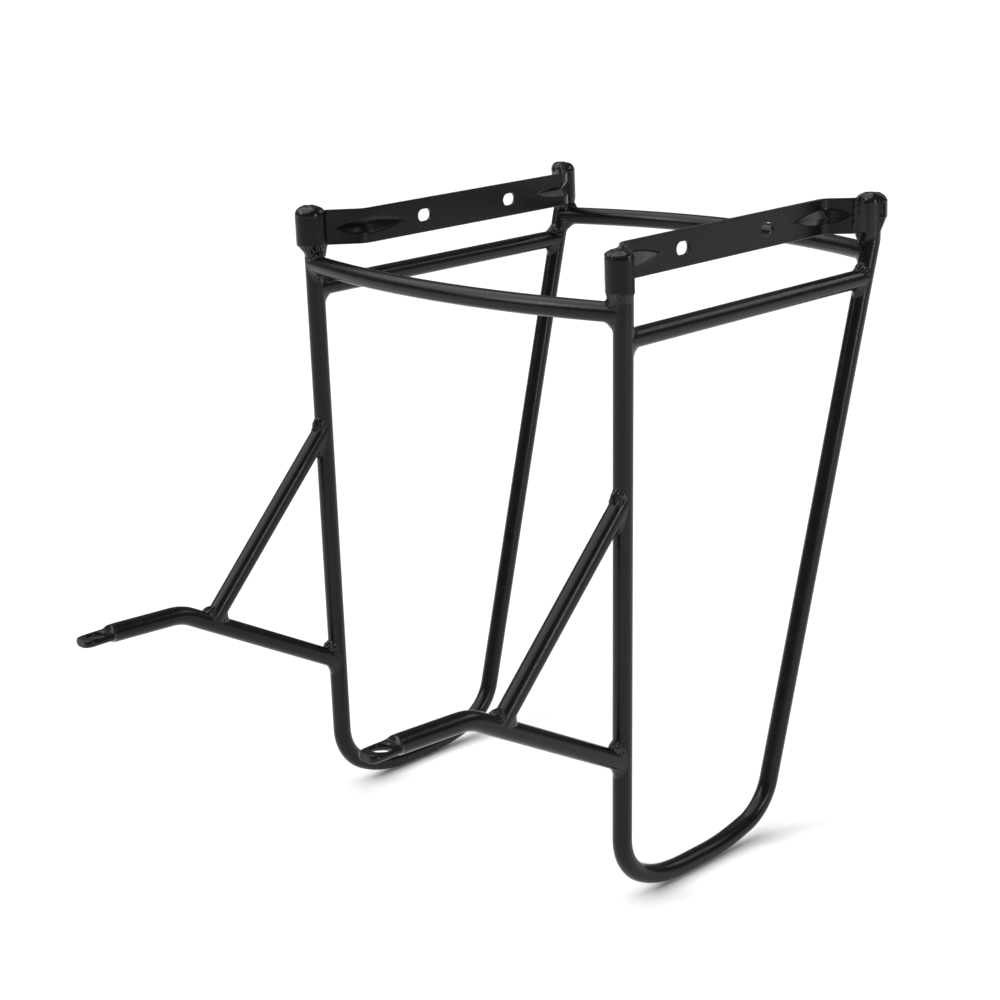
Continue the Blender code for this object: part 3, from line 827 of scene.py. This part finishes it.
# branch and main reach, fullness and ripple of each kind of bead, as bead() takes them
BEAD_SHAPES = {
    "mid_bar_front": ((3.6, 5.0, 3.8), (3.0, 6.2, 3.6), (0.40, 0.35), (0.05, 0.07)),
    "mid_bar_rear": ((3.4, 4.6, 4.4), (3.0, 5.6, 4.2), (0.40, 0.85), (0.08, 0.52)),
    "crossbar": ((3.2, 5.8, 5.0), (2.8, 5.8, 4.0), (0.28, 1.00), (0.03, 0.62)),
    "strut_top": ((4.0, 5.4, 4.6), (3.2, 5.0, 4.4), (0.35, 1.10), (0.05, 0.60)),
    "strut_foot": ((3.8, 4.2, 4.4), (3.2, 4.2, 4.2), (0.7, 1.05), (0.35, 0.60)),
    "arm_root": ((3.4, 4.8, 4.8), (3.2, 5.2, 5.2), (0.38, 1.05), (0.08, 0.65)),
}


def side_welds(label, side, seed):
    """All weld beads of one side of the rack."""
    down = Vector((0, 0, -1))
    back = Vector((0, 1, 0))
    front = (front_leg(MID_BAR_Z), FRONT_LEG_DIR)
    rear = (rear_leg(MID_BAR_Z), REAR_LEG_DIR)
    shapes = BEAD_SHAPES
    bead(label + "_mid_bar_front_weld", side, front[0], back, front, down,
         shapes["mid_bar_front"], seed)
    bead(label + "_mid_bar_rear_weld", side, rear[0], -back, rear, down,
         shapes["mid_bar_rear"], seed + 1)
    for end, leg, leg_dir, bow in (
        ("front", front_leg, FRONT_LEG_DIR, -FRONT_BOW),
        ("rear", rear_leg, REAR_LEG_DIR, REAR_BOW),
    ):
        path = crossbar_path(leg(CROSSBAR_Z).y, bow)
        away = (path[-2] - path[-1]).normalized()
        axis = (leg(CROSSBAR_Z), leg_dir)
        bead(label + "_crossbar_" + end + "_weld", side, path[-1], away, axis, down,
             shapes["crossbar"], seed + 2)
    top, foot, rise = strut_ends()
    strut = (foot - top).normalized()
    bead(label + "_strut_top_weld", side, top, strut, (top, FRONT_LEG_DIR), down,
         shapes["strut_top"], seed + 4)
    bead(label + "_strut_foot_weld", side, foot, -strut, (foot, rise), back,
         shapes["strut_foot"], seed + 5)
    root = front_leg(ARM_ROOT_Z)
    bead(label + "_arm_root_weld", side, root, rise, (root, FRONT_LEG_DIR), down,
         shapes["arm_root"], seed + 6)
    for end, way in (("front", 1), ("rear", -1)):
        hook_weld(label + "_" + end + "_hook_weld", side, way, seed + 7 + way)
    if side < 0:
        cap(label + "_front_cap_weld", side, 1, seed + 9, 0.0004)
    else:
        cap(label + "_front_cap_weld", side, 1, seed + 9, 0.0007, 0.0012, 0.0014, 0.0022)
    cap(label + "_rear_cap_weld", side, -1, seed + 10, 0.0004)


# --- stage ---


def floor():
    """A pale studio floor, large enough to fill the view."""
    material = bpy.data.materials.new("studio_floor")
    material.use_nodes = True
    nodes = material.node_tree.nodes
    links = material.node_tree.links
    shader = nodes["Principled BSDF"]
    tex = nodes.new("ShaderNodeTexNoise")
    tex.inputs["Scale"].default_value = 1.3
    ramp = nodes.new("ShaderNodeValToRGB")
    ramp.color_ramp.elements[0].color = (0.91, 0.91, 0.91, 1)
    ramp.color_ramp.elements[1].color = (0.94, 0.94, 0.94, 1)
    where = nodes.new("ShaderNodeTexCoord")
    links.new(where.outputs["Object"], tex.inputs["Vector"])
    links.new(tex.outputs["Fac"], ramp.inputs["Fac"])
    links.new(ramp.outputs["Color"], shader.inputs["Base Color"])
    shader.inputs["Roughness"].default_value = 0.9
    shader.inputs["Specular IOR Level"].default_value = 0.0
    mesh = bpy.data.meshes.new("studio_floor")
    reach = 30.0
    corners = ((-reach, -reach), (reach, -reach), (reach, reach), (-reach, reach))
    mesh.from_pydata([(x, y, -0.0002) for x, y in corners], [], [(0, 1, 2, 3)])
    mesh.materials.append(material)
    linked("studio_floor", mesh)


def area(name, place, aim, size, power):
    """A soft rectangular light at place, turned to aim."""
    light = bpy.data.lights.new(name, "AREA")
    light.shape = "RECTANGLE"
    light.size, light.size_y = size
    light.energy = power
    obj = linked(name, light)
    obj.location = place
    obj.rotation_euler = (Vector(aim) - Vector(place)).to_track_quat("-Z", "Y").to_euler()


def lights():
    """A wide soft key from above, three soft boxes and a dim even surround."""
    area("back_box", (0.7, 1.5, 1.3), (0, 0.05, 0.3), (1.1, 0.6), 5.0)
    world = bpy.data.worlds.new("studio")
    world.use_nodes = True
    sky = world.node_tree.nodes["Background"]
    sky.inputs["Color"].default_value = (0.97, 0.985, 1.0, 1)
    sky.inputs["Strength"].default_value = 0.22
    bpy.context.scene.world = world
    sun = bpy.data.lights.new("soft_key", "SUN")
    sun.energy = 3.15
    sun.angle = radians(80)
    obj = linked("soft_key", sun)
    obj.rotation_euler = Vector((0.35, 0.30, -1.0)).to_track_quat("-Z", "Y").to_euler()
    area("left_box", (-0.9, -1.5, 1.3), (0, 0, 0.2), (0.4, 0.9), 8.0)
    area("right_box", (1.86, 0.0, 0.62), (0.1, 0, 0.18), (0.22, 0.9), 9.0)


def camera():
    """A long lens from the front right, a little above the rack."""
    yaw, pitch, roll = 0.801, 0.2932, -0.037
    ahead = Vector((-sin(yaw) * cos(pitch), cos(yaw) * cos(pitch), -sin(pitch)))
    right = Vector((cos(yaw), sin(yaw), 0))
    up = right.cross(ahead)
    turned_right = right * cos(roll) + up * sin(roll)
    turned_up = up * cos(roll) - right * sin(roll)
    lens = bpy.data.cameras.new("camera")
    lens.sensor_width = 36.0
    lens.lens = 75.456
    lens.shift_x = -0.0053
    lens.shift_y = 0.0034
    lens.clip_start = 0.05
    obj = linked("camera", lens)
    turn = Matrix((turned_right, turned_up, -ahead)).transposed().to_4x4()
    obj.matrix_world = Matrix.Translation((0.76904, -0.74241, 0.50986)) @ turn
    bpy.context.scene.camera = obj


def build():
    for label, side, seed in (("left", -1, 3), ("right", 1, 21)):
        hoop = [Vector((leg_x(z), y, z)) for y, z in hoop_profile()]
        tube(label + "_hoop_tube", hoop, side)
        ends = (front_leg(MID_BAR_Z), rear_leg(MID_BAR_Z))
        tube(label + "_mid_bar", ends, side, (ends[0], FRONT_LEG_DIR), (ends[1], REAR_LEG_DIR))
        arm(label + "_arm_tube", side)
        top, foot, rise = strut_ends()
        tube(label + "_strut_tube", [top, foot], side, (top, FRONT_LEG_DIR), (foot, rise))
        rail(label + "_top_rail", side)
        side_welds(label, side, seed)
    for node, leg, leg_dir, bow in (
        ("front_crossbar", front_leg, FRONT_LEG_DIR, -FRONT_BOW),
        ("rear_crossbar", rear_leg, REAR_LEG_DIR, REAR_BOW),
    ):
        joint = leg(CROSSBAR_Z)
        mirrored = tuple(Vector((-v.x, v.y, v.z)) for v in (joint, leg_dir))
        tube(node, crossbar_path(joint.y, bow), 1, mirrored, (joint, leg_dir))
    floor()
    lights()
    camera()
    bpy.context.scene.view_settings.view_transform = "Standard"


build()
